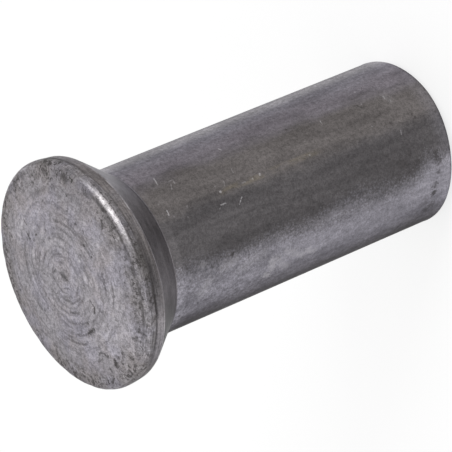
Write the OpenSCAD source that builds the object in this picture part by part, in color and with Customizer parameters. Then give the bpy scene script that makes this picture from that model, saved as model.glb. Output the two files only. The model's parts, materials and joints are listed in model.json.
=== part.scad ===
// Countersunk solid rivet, cold formed from one blank of steel wire.
// It stands on the cut end of its shank, with the head up. Millimetres, +Z along the shank to the head.

/* [Shank] */
// Diameter of the shank
shank_d = 7.9; // [6:0.1:9]
// Overall length, from the cut end to the crown of the head
rivet_l = 20; // [16:0.5:40]
// Radius that rounds the edge of the cut end
end_r = 0.43; // [0.2:0.01:0.8]
// How far the shear drew up the -Y side of the cut end
draw_up = 0.24; // [0.05:0.01:0.4]
// Length of the band that the heading die gripped, next to the countersink
grip_band_l = 0.5; // [0.2:0.1:1]
// How much thicker the gripped band is than the shank, on the diameter
grip_band_step = 0.06; // [0.02:0.02:0.1]

/* [Head] */
// Diameter of the head over its land
head_d = 10.75; // [10:0.05:14]
// Full angle of the countersink
sink_angle = 75; // [60:5:90]
// Height of the land, from the countersink to the edge of the face
land_h = 1.0; // [0.8:0.05:1.5]
// How much the land narrows towards the countersink, on the diameter
land_taper = 0.13; // [0.04:0.01:0.2]
// Radius of the rolled edge between the land and the face
edge_roll_r = 0.35; // [0.25:0.01:0.4]
// How far the rim of the face lies inside the land
face_inset = 0.165; // [0.1:0.005:0.2]
// Rise of the crowned face over its edge
crown_h = 0.45; // [0.1:0.01:0.6]
// Distance of the parting crease from the edge of the face
crease_drop = 0.49; // [0.45:0.01:0.6]
// Width of the parting crease between punch and die
crease_w = 0.12; // [0.06:0.02:0.2]
// Depth of the parting crease
crease_depth = 0.05; // [0.02:0.01:0.1]

/* [Hidden] */
$fn = 96;
// sides of the two large curves, so that they stay smooth
LARGE_CURVE_SIDES = 720;

shank_r = shank_d / 2;
head_r = head_d / 2;
grip_r = shank_r + grip_band_step / 2;
// radius of the land where it meets the countersink
land_foot_r = head_r - land_taper / 2;

// heights above the cut end, from the head down
face_edge_z = rivet_l - crown_h;
crease_z = face_edge_z - crease_drop;
land_foot_z = face_edge_z - land_h;
sink_h = (land_foot_r - grip_r) / tan(sink_angle / 2);
neck_z = land_foot_z - sink_h;
grip_foot_z = neck_z - grip_band_l;

// the crown is part of a sphere through the middle and the edge of the face
face_r = head_r - face_inset;
crown_sphere_r = (face_r * face_r + crown_h * crown_h) / (2 * crown_h);

// the edge roll is part of a circle that meets the crown at the rim of the face, with a faint corner
roll_middle_r = head_r - edge_roll_r;
roll_z = face_edge_z - sqrt(edge_roll_r * edge_roll_r - pow(edge_roll_r - face_inset, 2));

// the cut end is flat up to draw_start past the axis, on the -Y side, and from there a long curve
// goes up to draw_up at the side of the shank; the drum that gives the curve is lowest at draw_low
draw_start = shank_r * 0.25;
draw_low = shank_r * 0.5;
draw_near = draw_low + draw_start;
draw_far = draw_low + shank_r;
draw_curve_r = (draw_far * draw_far - draw_near * draw_near) / (2 * draw_up);
spare = 1;

// Half section of the shank: a straight pin with a rounded edge at the cut end.
module shank_section() {
    translate([0, end_r])
        square([shank_r, grip_foot_z - end_r]);
    square([shank_r - end_r, 2 * end_r]);
    translate([shank_r - end_r, end_r])
        circle(r = end_r);
}

// Half section of the gripped band and the countersink.
module neck_section() {
    polygon([
        [0, grip_foot_z - spare],
        [shank_r, grip_foot_z - spare],
        [shank_r, grip_foot_z],
        [grip_r, grip_foot_z + grip_band_step],
        [grip_r, neck_z],
        [land_foot_r, land_foot_z],
        [0, land_foot_z]
    ]);
}

// Half section of the land, with the edge roll over it, under the arc of the crown.
module land_section() {
    intersection() {
        union() {
            polygon([
                [0, land_foot_z],
                [land_foot_r, land_foot_z],
                [head_r, crease_z],
                [head_r, roll_z],
                [0, roll_z]
            ]);
            translate([roll_middle_r, roll_z])
                circle(r = edge_roll_r);
            translate([0, roll_z])
                square([roll_middle_r, rivet_l - roll_z + spare]);
        }
        translate([0, rivet_l - crown_sphere_r])
            circle(r = crown_sphere_r, $fn = LARGE_CURVE_SIDES);
    }
}

// Half section of the V-shaped crease that the punch and the die leave round the land.
module crease_section() {
    polygon([
        [head_r + crease_depth, crease_z - crease_w],
        [head_r + crease_depth, crease_z + crease_w],
        [head_r - crease_depth, crease_z]
    ]);
}

// The long curve of the shear, as a wide drum that cuts away only what lies under its lower side.
module sheared_envelope() {
    translate([0, draw_low, sqrt(draw_curve_r * draw_curve_r - draw_near * draw_near)])
        rotate([0, 90, 0])
            cylinder(r = draw_curve_r, h = 2 * head_d, center = true, $fn = LARGE_CURVE_SIDES);
}

// The whole rivet: one solid, turned from its half section and then trimmed by the shear.
module rivet() {
    color([0.47, 0.46, 0.48])
        intersection() {
            rotate_extrude()
                difference() {
                    union() {
                        shank_section();
                        neck_section();
                        land_section();
                    }
                    crease_section();
                }
            sheared_envelope();
        }
}

rivet();
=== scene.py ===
"""Countersunk solid rivet of dull, uncoated steel: its worn surface, its finishes with painted light and
shade, and a plain studio.
"""
import json
import math
from types import SimpleNamespace

import bmesh
import bpy
from bpy.props import FloatProperty, FloatVectorProperty, IntProperty, PointerProperty
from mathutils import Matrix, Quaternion, Vector, noise


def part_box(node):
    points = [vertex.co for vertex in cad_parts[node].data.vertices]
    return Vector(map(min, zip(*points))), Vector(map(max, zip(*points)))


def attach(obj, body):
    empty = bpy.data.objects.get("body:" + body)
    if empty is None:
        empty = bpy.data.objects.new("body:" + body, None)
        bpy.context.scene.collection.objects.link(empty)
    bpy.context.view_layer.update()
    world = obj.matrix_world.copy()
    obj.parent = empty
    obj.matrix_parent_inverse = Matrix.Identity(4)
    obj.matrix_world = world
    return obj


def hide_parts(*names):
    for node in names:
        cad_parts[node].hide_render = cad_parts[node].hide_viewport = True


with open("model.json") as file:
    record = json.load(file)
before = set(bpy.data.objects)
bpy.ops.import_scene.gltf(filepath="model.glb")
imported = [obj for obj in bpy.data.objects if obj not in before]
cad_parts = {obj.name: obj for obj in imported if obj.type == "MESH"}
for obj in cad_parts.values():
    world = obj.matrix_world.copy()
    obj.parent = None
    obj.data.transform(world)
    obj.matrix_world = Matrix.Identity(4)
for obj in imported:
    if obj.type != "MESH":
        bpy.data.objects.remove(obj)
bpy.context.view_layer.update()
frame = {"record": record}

bl_info = {
    "name": "Countersunk Rivet",
    "version": (1, 0, 0),
    "blender": (4, 5, 0),
    "location": "View3D > Sidebar > Rivet",
    "description": "Adds a countersunk steel rivet with the marks of its making and use, and a studio for it",
    "category": "Add Mesh",
}

MM = 0.001
LOWEST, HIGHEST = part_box("rivet")
MOUNTS = {mount["name"]: mount for mount in frame["record"]["mounts"]}

# Material slots of the rivet, in the order in which its surface is divided
FACE, EDGE, SINK, SHANK, END = range(5)
# Centre of the turned marks, in millimetres: the punch stood a little off the axis
RING_CENTRE = (0.17, 0.07, 0)
# Sides of the head, in degrees, of the worn flat and the darker crease: it starts, is full, starts to fade
# and is gone
FLAT_SIDES = (-50, -24, -12, 16)
DARK_CREASE_SIDES = (-94, -74, -24, 0)
# A height in millimetres that is less than any step of the mesh
HAIR = 1e-4


class RivetSizes(bpy.types.PropertyGroup):
    """Sizes of the half section, in metres."""

    length: FloatProperty(
        name="Length", description="From the cut end to the crown of the head",
        default=HIGHEST.z - LOWEST.z, unit="LENGTH")
    head_diameter: FloatProperty(
        name="Head diameter", description="Across the land of the head",
        default=HIGHEST.x - LOWEST.x, unit="LENGTH")
    shank_diameter: FloatProperty(
        name="Shank diameter", description="Across the straight shank",
        default=2 * MM * MOUNTS["shank"]["dims"]["r_mm"], unit="LENGTH")
    crown_height: FloatProperty(
        name="Crown height", description="Rise of the face over its edge", default=0.45 * MM, unit="LENGTH")
    edge_roll_radius: FloatProperty(
        name="Edge roll radius", description="Of the rolled edge between the land and the face",
        default=0.35 * MM, unit="LENGTH")
    face_inset: FloatProperty(
        name="Face inset", description="How far the rim of the face lies inside the land",
        default=0.165 * MM, unit="LENGTH")
    land_height: FloatProperty(
        name="Land height", description="From the countersink to the edge of the face",
        default=1.0 * MM, unit="LENGTH")
    land_taper: FloatProperty(
        name="Land taper", description="How much the land narrows to the countersink, on the diameter",
        default=0.13 * MM, unit="LENGTH")
    land_foot_radius: FloatProperty(
        name="Land foot radius", description="Between the land and the countersink",
        default=0.05 * MM, unit="LENGTH")
    sink_angle: FloatProperty(
        name="Countersink angle", description="Full angle of the countersink",
        default=math.radians(75), subtype="ANGLE")
    neck_radius: FloatProperty(
        name="Neck radius", description="Hollow between the countersink and the shank",
        default=0.1 * MM, unit="LENGTH")
    grip_length: FloatProperty(
        name="Grip band length", description="Band that the heading die gripped",
        default=0.5 * MM, unit="LENGTH")
    grip_step: FloatProperty(
        name="Grip band step", description="How much thicker that band is, on the diameter",
        default=0.06 * MM, unit="LENGTH")
    end_radius: FloatProperty(
        name="End radius", description="Round edge of the cut end", default=0.43 * MM, unit="LENGTH")
    draw_up: FloatProperty(
        name="Drawn up by", description="How far the shear drew up the -Y side of the cut end",
        default=0.24 * MM, unit="LENGTH")


class RivetMarks(bpy.types.PropertyGroup):
    """Marks of making and use, as real relief, in metres."""

    turn_steps: IntProperty(
        name="Turn steps", description="Divisions round the rivet", default=288, min=48, max=320)
    ring_pitch: FloatProperty(
        name="Ring pitch", description="Distance between the turned marks that the punch left on the face",
        default=0.36 * MM, unit="LENGTH")
    ring_depth: FloatProperty(
        name="Ring depth", description="Depth of the turned marks", default=0.010 * MM, unit="LENGTH")
    ring_reach: FloatProperty(
        name="Ring reach", description="Radius out to which the turned marks are clear",
        default=3.4 * MM, unit="LENGTH")
    crease_drop: FloatProperty(
        name="Crease drop", description="From the edge of the face to the crease between punch and die",
        default=0.49 * MM, unit="LENGTH")
    crease_width: FloatProperty(
        name="Crease width", description="Width of that crease", default=0.14 * MM, unit="LENGTH")
    crease_depth: FloatProperty(
        name="Crease depth", description="Depth of that crease", default=0.05 * MM, unit="LENGTH")
    dent_depth: FloatProperty(
        name="Dent depth", description="Depth of the small dents on the edge of the head",
        default=0.025 * MM, unit="LENGTH")
    flat_depth: FloatProperty(
        name="Worn flat depth", description="Depth of the flat that use wore on one side of the rolled edge",
        default=0.040 * MM, unit="LENGTH")
    flat_tilt: FloatProperty(
        name="Worn flat tilt", description="How far that flat faces up",
        default=math.radians(39), unit="ROTATION")
    wave_depth: FloatProperty(
        name="Wave depth", description="Depth of the long waves that drawing left along the shank",
        default=0.008 * MM, unit="LENGTH")


class SteelColours(bpy.types.PropertyGroup):
    """Colours of the bare steel and of what lies on it."""

    face: FloatVectorProperty(
        name="Face", description="Struck face of the head", subtype="COLOR",
        default=(0.297, 0.283, 0.303))
    face_violet: FloatVectorProperty(
        name="Face, violet", description="Bluish fields of the face", subtype="COLOR",
        default=(0.303, 0.290, 0.330))
    face_warm: FloatVectorProperty(
        name="Face, warm", description="Brownish fields of the face", subtype="COLOR",
        default=(0.296, 0.276, 0.290))
    edge: FloatVectorProperty(
        name="Edge", description="Land of the head", subtype="COLOR", default=(0.165, 0.154, 0.159))
    edge_olive: FloatVectorProperty(
        name="Edge, olive", description="Oily fields of the land", subtype="COLOR",
        default=(0.149, 0.136, 0.136))
    sink: FloatVectorProperty(
        name="Countersink", description="Smooth steel of the countersink", subtype="COLOR",
        default=(0.172, 0.160, 0.169))
    film: FloatVectorProperty(
        name="Film", description="Dark film on the drawn shank", subtype="COLOR",
        default=(0.096, 0.090, 0.093))
    film_olive: FloatVectorProperty(
        name="Film, olive", description="Oily fields of the film", subtype="COLOR",
        default=(0.138, 0.126, 0.124))
    film_violet: FloatVectorProperty(
        name="Film, violet", description="Thin fields of the film", subtype="COLOR",
        default=(0.188, 0.172, 0.191))
    # Worn is also the colour of painted light and painted reflection on the land, the countersink and the
    # shank.
    worn: FloatVectorProperty(
        name="Worn", description="Steel where the dark film is worn away", subtype="COLOR",
        default=(0.250, 0.241, 0.270))
    tan: FloatVectorProperty(
        name="Tan", description="Thin brown stain", subtype="COLOR", default=(0.19, 0.165, 0.125))
    grime: FloatVectorProperty(
        name="Grime", description="Dirt in pits and creases", subtype="COLOR", default=(0.034, 0.030, 0.029))
    # Bright also paints highlights: on the worn flat of the rolled edge, along the land's foot and along the
    # top of the shank.
    bright: FloatVectorProperty(
        name="Bright", description="Fresh scratches and nicks", subtype="COLOR", default=(0.62, 0.60, 0.62))


class StudioSettings(bpy.types.PropertyGroup):
    """Camera, floor and lamps."""

    view_angle: FloatProperty(
        name="View angle", description="Of the camera's lens", default=math.radians(7.0), subtype="ANGLE")
    azimuth: FloatProperty(
        name="Azimuth", description="Side that the camera looks from; 0 is -Y",
        default=math.radians(46.44), subtype="ANGLE")
    elevation: FloatProperty(
        name="Elevation", description="Of the camera over the floor",
        default=math.radians(33.49), subtype="ANGLE")
    roll: FloatProperty(
        name="Roll", description="Turn of the camera about its own axis",
        default=math.radians(-112.81), subtype="ANGLE")
    distance: FloatProperty(
        name="Distance", description="From the camera to the point that it aims at",
        default=168.16 * MM, unit="LENGTH")
    aim: FloatVectorProperty(
        name="Aim", description="Point at the middle of the picture", subtype="XYZ",
        default=(-0.715 * MM, -0.084 * MM, 10.696 * MM))
    floor_radius: FloatProperty(
        name="Floor radius", description="Of the round floor", default=3.0, unit="LENGTH")
    floor_colour: FloatVectorProperty(
        name="Floor", description="Colour of the floor", subtype="COLOR", default=(0.97, 0.97, 0.97))
    floor_glow: FloatProperty(
        name="Floor glow", description="Share of plain white in the floor, for the camera and in reflections",
        default=0.75)
    ambient: FloatProperty(
        name="Ambient", description="Strength of the even light from all round", default=0.85)


def in_mm(settings):
    """A property group's lengths as millimetres, and its other values as they are."""
    values = {}
    for name in settings.__annotations__:
        value = getattr(settings, name)
        is_length = settings.bl_rna.properties[name].unit == "LENGTH"
        values[name] = value / MM if is_length else value
    return SimpleNamespace(**values)


def smooth(low, high, value):
    """0 below low, 1 above high, and a smooth step between them."""
    share = min(max((value - low) / (high - low), 0.0), 1.0)
    return share * share * (3 - 2 * share)


def rise_and_fall(value, start, full, fading, gone):
    """1 from full to fading, 0 before start and after gone, with smooth steps between them."""
    return smooth(start, full, value) * smooth(gone, fading, value)


def levels(size, marks):
    """Heights and radii of the half section in millimetres, worked out from its sizes."""
    at = SimpleNamespace()
    at.head = size.head_diameter / 2
    at.shank = size.shank_diameter / 2
    at.grip = at.shank + size.grip_step / 2
    at.land_foot = at.head - size.land_taper / 2
    at.face = at.head - size.face_inset
    at.crown_sphere = (at.face ** 2 + size.crown_height ** 2) / (2 * size.crown_height)
    at.face_edge_z = size.length - size.crown_height
    at.roll_turn = math.acos(1 - size.face_inset / size.edge_roll_radius)
    at.edge_roll = size.edge_roll_radius
    at.roll_middle = at.head - size.edge_roll_radius
    at.roll_z = at.face_edge_z - size.edge_roll_radius * math.sin(at.roll_turn)
    at.crease_z = at.face_edge_z - marks.crease_drop
    at.land_foot_z = at.face_edge_z - size.land_height
    at.neck_z = at.land_foot_z - (at.land_foot - at.grip) / math.tan(size.sink_angle / 2)
    at.grip_foot_z = at.neck_z - size.grip_length
    return at


def draw_line(bm, start, radius, height):
    """A straight stretch of the half section, from a vertex to a radius and a height."""
    end = bm.verts.new((radius, 0, height))
    bm.edges.new((start, end))
    return end


def draw_arc(bm, start, centre, turn, steps):
    """A round stretch of the half section: its first vertex spun about a centre in the section."""
    swept = bmesh.ops.spin(
        bm, geom=[start], cent=(centre[0], 0, centre[1]), axis=(0, 1, 0), angle=turn, steps=steps)
    return next(item for item in swept["geom_last"] if isinstance(item, bmesh.types.BMVert))


def round_corner(bm, corner, radius):
    """Rounds one corner of the half section."""
    bmesh.ops.bevel(
        bm, geom=[corner], offset=radius, offset_type="OFFSET", segments=4, profile=0.5,
        affect="VERTICES", material=-1)


def draw_half_section(bm, size, at):
    """The rivet's half section, from the crown of the head down to the middle of the cut end."""
    crown_steps, roll_steps, end_steps = 112, 9, 6
    quarter = math.pi / 2
    crown = bm.verts.new((0, 0, size.length))
    face_turn = math.asin(at.face / at.crown_sphere)
    face_edge = draw_arc(bm, crown, (0, size.length - at.crown_sphere), face_turn, crown_steps)
    land_top = draw_arc(bm, face_edge, (at.roll_middle, at.roll_z), at.roll_turn, roll_steps)
    crease = draw_line(bm, land_top, at.head, at.crease_z)
    land_foot = draw_line(bm, crease, at.land_foot, at.land_foot_z)
    neck = draw_line(bm, land_foot, at.grip, at.neck_z)
    grip_foot = draw_line(bm, neck, at.grip, at.grip_foot_z + size.grip_step)
    shank_top = draw_line(bm, grip_foot, at.shank, at.grip_foot_z)
    shank_foot = draw_line(bm, shank_top, at.shank, size.end_radius)
    end_middle = (at.shank - size.end_radius, size.end_radius)
    end_edge = draw_arc(bm, shank_foot, end_middle, quarter, end_steps)
    draw_line(bm, end_edge, 0, 0)
    round_corner(bm, land_foot, size.land_foot_radius)
    round_corner(bm, neck, size.neck_radius)


def subdivide_section(bm, at):
    """Cuts the long edges of the half section, finer on the head than on the shank."""
    head_spacing, shank_spacing, end_spacing = 0.05, 0.17, 0.28
    for edge in list(bm.edges):
        middle = (edge.verts[0].co + edge.verts[1].co) / 2
        if middle.z > at.neck_z:
            spacing = head_spacing
        elif middle.z > 0:
            spacing = shank_spacing
        else:
            spacing = end_spacing
        cuts = round(edge.calc_length() / spacing) - 1
        if cuts > 0:
            bmesh.ops.subdivide_edges(bm, edges=[edge], cuts=cuts)


def turn_section(bm, steps):
    """Spins the half section into the whole rivet and closes it at its two poles."""
    bmesh.ops.spin(
        bm, geom=bm.verts[:] + bm.edges[:], cent=(0, 0, 0), axis=(0, 0, 1), angle=2 * math.pi,
        steps=steps, use_merge=True)
    bmesh.ops.remove_doubles(bm, verts=bm.verts[:], dist=1e-5)
    bmesh.ops.recalc_face_normals(bm, faces=bm.faces[:])
    bm.normal_update()


def assign_slots(bm, at):
    """Gives each face of the mesh the material slot of its part of the surface."""
    for face in bm.faces:
        middle = face.calc_center_median()
        radius = math.hypot(middle.x, middle.y)
        if middle.z > at.crease_z:
            face.material_index = FACE
        elif middle.z > at.land_foot_z:
            face.material_index = EDGE
        elif middle.z > at.neck_z:
            face.material_index = SINK
        elif middle.z > HAIR or radius > at.shank:
            face.material_index = SHANK
        else:
            face.material_index = END
        face.smooth = True


def ring_relief(point, marks):
    """Depth and grime of the wobbly turned marks that the punch left on the face."""
    across = Vector((point.x, point.y, 0)) - Vector(RING_CENTRE)
    radius = across.length
    wobble = 0.16 * noise.noise(across * 0.55) + 0.04 * noise.noise(across * 2.1)
    wave = 0.5 + 0.5 * math.cos(2 * math.pi * (radius + wobble) / marks.ring_pitch)
    patchy = 0.35 + 0.65 * smooth(-0.25, 0.35, noise.noise(across * 0.9 + Vector((7.3, 1.9, 4.1))))
    reach = 1 - 0.85 * smooth(marks.ring_reach * 0.7, marks.ring_reach * 1.3, radius)
    nib = smooth(0.35, 0.05, radius)
    groove = wave ** 3 * patchy * reach
    return marks.ring_depth * (groove + 1.6 * nib), 0.45 * groove ** 2 + 0.5 * nib


def crease_relief(point, at, marks):
    """Depth and darkness of the crease round the land, darker on some sides, which comes and goes and wanders
    a little.
    """
    angle = math.atan2(point.y, point.x)
    around = Vector((math.cos(angle), math.sin(angle), 0))
    line_z = at.crease_z + 0.03 * noise.noise(around * 4.0) + 0.012 * noise.noise(around * 19.0)
    width = marks.crease_width / 2 * (1 + 0.35 * noise.noise(around * 9.0 + Vector((3.1, 0, 0))))
    side = 1 - smooth(0.0, 1.0, abs(point.z - line_z) / width)
    strength = 0.35 + 0.65 * smooth(-0.3, 0.2, noise.noise(around * 1.7 + Vector((0.4, 5.2, 0))))
    darker_share = 0.15 + 0.85 * rise_and_fall(math.degrees(angle), *DARK_CREASE_SIDES)
    return marks.crease_depth * side * strength, side * strength * darker_share


def dent_relief(point, at, marks):
    """Depth of the small dents and waves on the round edge and the land of the head."""
    on_edge = smooth(at.land_foot_z - 0.1, at.land_foot_z + 0.15, point.z)
    on_edge *= smooth(at.face - 0.5, at.face + 0.1, math.hypot(point.x, point.y))
    broad = smooth(0.1, 0.7, noise.noise(point * 1.3 + Vector((2.2, 8.1, 0.7))))
    fine = smooth(0.15, 0.75, noise.noise(point * 6.5))
    return marks.dent_depth * on_edge * (0.8 * broad + 0.45 * fine)


def edge_wear(point, at, marks):
    """How a point moves where use wore a ragged flat on the rolled edge."""
    side = math.degrees(math.atan2(point.y, point.x))
    worn = rise_and_fall(side, *FLAT_SIDES)
    depth = marks.flat_depth * worn * (0.85 + 0.6 * noise.noise(point * 2.2))
    radius = math.hypot(point.x, point.y)
    out, up = math.cos(marks.flat_tilt), math.sin(marks.flat_tilt)
    reach = (radius - at.roll_middle) * out + (point.z - at.roll_z) * up
    excess = reach - at.edge_roll + depth
    if worn == 0 or excess <= 0:
        return Vector((0, 0, 0))
    return Vector((-excess * out * point.x / radius, -excess * out * point.y / radius, -excess * up))


def shank_relief(point, at, marks):
    """Depth of the long faint waves that drawing left on the shank."""
    on_shank = smooth(at.neck_z, at.grip_foot_z - 0.3, point.z)
    stretched = Vector((point.x * 0.9, point.y * 0.9, point.z * 0.12))
    return marks.wave_depth * on_shank * (1 + noise.noise(stretched))


def shear_relief(point, size, at):
    """How far the shear drew up a point of the cut end: a long curve that rises to the -Y side."""
    start = at.shank * 0.25
    share = max((-point.y - start) / (at.shank - start), 0)
    near_end = 1 - smooth(0.0, 3 * size.end_radius, point.z)
    return size.draw_up * share ** 1.6 * near_end


def wear_surface(bm, size, marks, at):
    """Presses the marks of making and use into the mesh, and notes where they hold grime."""
    grime_layer = bm.verts.layers.float.new("grime")
    moves = []
    for vertex in bm.verts:
        point = vertex.co
        depth, grime = 0.0, 0.0
        if point.z > at.face_edge_z - HAIR:
            depth, grime = ring_relief(point, marks)
        elif point.z > at.land_foot_z:
            depth, grime = crease_relief(point, at, marks)
        elif point.z > size.end_radius:
            depth = shank_relief(point, at, marks)
        depth += dent_relief(point, at, marks)
        rise = Vector((0, 0, shear_relief(point, size, at)))
        moves.append(rise - vertex.normal * depth + edge_wear(point, at, marks))
        vertex[grime_layer] = grime
    for vertex, move in zip(bm.verts, moves):
        vertex.co += move


def make_rivet_mesh(size, marks, at):
    """The rivet's mesh: a half section, turned, then marked as it was made and used."""
    bm = bmesh.new()
    draw_half_section(bm, size, at)
    subdivide_section(bm, at)
    turn_section(bm, marks.turn_steps)
    assign_slots(bm, at)
    wear_surface(bm, size, marks, at)
    bmesh.ops.scale(bm, vec=(MM, MM, MM), verts=bm.verts[:])
    bmesh.ops.translate(bm, vec=(0, 0, LOWEST.z), verts=bm.verts[:])
    mesh = bpy.data.meshes.new("rivet_worn")
    bm.to_mesh(mesh)
    bm.free()
    return mesh


# Nodes

class Field:
    """A value that changes over the surface: an output of a node, which can be reckoned with."""

    def __init__(self, socket):
        self.socket = socket
        self.tree = socket.id_data

    def __add__(self, other):
        return calculate("ADD", self, other)

    def __sub__(self, other):
        return calculate("SUBTRACT", self, other)

    def __mul__(self, other):
        return calculate("MULTIPLY", self, other)

    def __truediv__(self, other):
        return calculate("DIVIDE", self, other)


def fields_of(node):
    """A node's outputs as fields, by name."""
    return {socket.name: Field(socket) for socket in node.outputs}


def tree_of(values):
    """The node tree of the first field among some values."""
    return next(value.tree for value in values if isinstance(value, Field))


def set_input(socket, value):
    """Links an input to a field or another socket, or sets it to a plain value."""
    source = value.socket if isinstance(value, Field) else value
    if isinstance(source, bpy.types.NodeSocket):
        socket.id_data.links.new(source, socket)
    else:
        socket.default_value = source


def add_node(tree, kind, inputs=None, **properties):
    """A node with its properties and its inputs."""
    node = tree.nodes.new(kind)
    for name, value in properties.items():
        setattr(node, name, value)
    for name, value in (inputs or {}).items():
        set_input(node.inputs[name], value)
    return node


def add_field(tree, kind, inputs, output, **properties):
    """One output of a new node, as a field."""
    return Field(add_node(tree, kind, inputs, **properties).outputs[output])


def calculate(operation, *values):
    """The result of a Math node."""
    return add_field(tree_of(values), "ShaderNodeMath", dict(enumerate(values)), 0, operation=operation)


def calculate_vector(operation, inputs, output="Vector"):
    """An output of a Vector Math node, from its inputs by number or name."""
    return add_field(inputs[0].tree, "ShaderNodeVectorMath", inputs, output, operation=operation)


def fade(value, low, high, start=0.0, end=1.0):
    """A smooth step from start to end as the value goes from low to high."""
    inputs = {"Value": value, "From Min": low, "From Max": high, "To Min": start, "To Max": end}
    return add_field(
        value.tree, "ShaderNodeMapRange", inputs, "Result", interpolation_type="SMOOTHSTEP", clamp=False)


def between(value, start, full, fading, gone):
    """A mask that rises from start to full, and falls again from fading to gone."""
    return fade(value, start, full) * fade(value, fading, gone, 1.0, 0.0)


def spread(value, share):
    """A noise value as a factor round 1 that takes a share off or adds it."""
    return fade(value, 0.3, 0.7, 1 - share, 1 + share)


def swing(value, reach):
    """A noise value as a way to either side, out to a reach."""
    return calculate("MULTIPLY_ADD", value, 2 * reach, -reach)


def strongest(*masks):
    """The largest of several masks."""
    total = masks[0]
    for mask in masks[1:]:
        total = calculate("MAXIMUM", total, mask)
    return total


def mix_value(factor, first, second):
    """Two numbers mixed by a factor."""
    inputs = {0: factor, 2: first, 3: second}
    return add_field(factor.tree, "ShaderNodeMix", inputs, 0, data_type="FLOAT", clamp_factor=False)


def within(mask, factor):
    """A factor inside a mask, and 1 outside it."""
    return mix_value(mask, 1.0, factor)


def opaque(colour):
    """A colour property as the four numbers that a socket takes."""
    return (*colour, 1.0)


def mix_colour(factor, first, second):
    """Two colours, each a field or a colour property, mixed by a factor."""
    node = add_node(factor.tree, "ShaderNodeMix", {0: factor}, data_type="RGBA", clamp_factor=True)
    for index, colour in ((6, first), (7, second)):
        set_input(node.inputs[index], colour if isinstance(colour, Field) else opaque(colour))
    return Field(node.outputs[2])


def shade_colour(colour, *factors):
    """A colour made lighter or darker by factors that change over the surface."""
    for factor in factors:
        colour = enlarge(colour, factor)
    return colour


def enlarge(vector, factor):
    """A vector or a colour scaled by a factor."""
    return calculate_vector("SCALE", {0: vector, "Scale": factor})


def stretch(point, factors):
    """A point scaled along its three axes."""
    return calculate_vector("MULTIPLY", {0: point, 1: factors})


def shift(point, offset):
    """A point moved by an offset."""
    return calculate_vector("ADD", {0: point, 1: offset})


def vary(point, scale, detail=3.0, roughness=0.5):
    """A noise value between 0 and 1 over the surface, with its scale per millimetre."""
    inputs = {"Vector": point, "Scale": scale, "Detail": detail, "Roughness": roughness}
    return add_field(point.tree, "ShaderNodeTexNoise", inputs, "Fac")


def vary_round(around, turns, depth, detail=3.0, roughness=0.5):
    """A noise value of lines that run round the axis; depth is the way across them."""
    upward = add_field(depth.tree, "ShaderNodeCombineXYZ", {2: depth}, 0)
    return vary(shift(stretch(around, (turns, turns, 0)), upward), 1.0, detail, roughness)


def polar(flat):
    """Radius, direction and side in degrees of a point that lies in the plane of the axes X and Y."""
    radius = calculate_vector("LENGTH", {0: flat}, "Value")
    around = calculate_vector("NORMALIZE", {0: flat})
    parts = fields_of(add_node(flat.tree, "ShaderNodeSeparateXYZ", {0: flat}))
    return radius, around, calculate("ARCTAN2", parts["Y"], parts["X"]) * math.degrees(1)


# Node groups

def start_group(name, inputs, outputs):
    """A new node group: its inputs as fields, by name, and the sockets of its results.

    Inputs are names with their defaults, None for a vector, and outputs are names with their kinds.
    """
    tree = bpy.data.node_groups.new(name, "ShaderNodeTree")
    for socket_name, default in inputs.items():
        kind = "NodeSocketVector" if default is None else "NodeSocketFloat"
        socket = tree.interface.new_socket(socket_name, in_out="INPUT", socket_type=kind)
        if default is not None:
            socket.default_value = default
    for socket_name, kind in outputs.items():
        tree.interface.new_socket(socket_name, in_out="OUTPUT", socket_type="NodeSocket" + kind)
    return fields_of(add_node(tree, "NodeGroupInput")), add_node(tree, "NodeGroupOutput").inputs


def use_group(group, **inputs):
    """The outputs of a node group, by name; an underscore in an input's name stands for a space."""
    values = {name.replace("_", " "): value for name, value in inputs.items()}
    return fields_of(add_node(
        tree_of(inputs.values()), "ShaderNodeGroup", values, node_tree=bpy.data.node_groups[group]))


def make_place_group():
    """Where a point of the surface is, in millimetres, and on which side of the axis, in degrees."""
    given, result = start_group(
        "place on rivet", {"Object": None},
        {"Point": "Vector", "Radius": "Float", "Height": "Float", "Side": "Float", "Around": "Vector"})
    point = enlarge(given["Object"], 1 / MM)
    height = add_field(point.tree, "ShaderNodeSeparateXYZ", {0: point}, "Z")
    radius, around, side = polar(stretch(point, (1, 1, 0)))
    for socket, value in zip(result, (point, radius, height, side, around)):
        set_input(socket, value)


def make_grain_group():
    """Fine grain of the steel, in two sizes, as a value round 0.5."""
    given, result = start_group("steel grain", {"Point": None, "Scale": 9.0}, {"Grain": "Float"})
    fine = vary(given["Point"], given["Scale"], detail=2.0, roughness=0.7)
    coarse = vary(given["Point"], given["Scale"] * 0.4, roughness=0.6)
    set_input(result["Grain"], calculate("MULTIPLY_ADD", coarse, 0.45, fine * 0.55))


def make_pit_group():
    """Small pits: a mask that is 1 in a pit. Amount is the share of the cells that hold one."""
    given, result = start_group(
        "pits", {"Point": None, "Scale": 2.0, "Amount": 0.3, "Size": 0.3}, {"Pits": "Float"})
    point = given["Point"]
    ragged = vary(point, 9.0, detail=2.0)
    tree = point.tree
    cells = fields_of(add_node(tree, "ShaderNodeTexVoronoi", {"Vector": point, "Scale": given["Scale"]}))
    chance = fields_of(add_node(tree, "ShaderNodeSeparateColor", {0: cells["Color"]}))
    distance = calculate("MULTIPLY_ADD", ragged, 0.25, cells["Distance"])
    size = given["Size"] * (chance["Green"] + 0.5)
    chosen = calculate("LESS_THAN", chance["Red"], given["Amount"])
    set_input(result["Pits"], fade(distance, size, size + 0.12, 1.0, 0.0) * chosen)


def mark_mask(given, distance):
    """The soft, ragged mask of one stroke or arc, from the distance to its middle line."""
    return fade(distance / given["Width"] + given["Ragged"], 0.25, 1.0, 1.0, 0.0) * given["Strength"]


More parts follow.
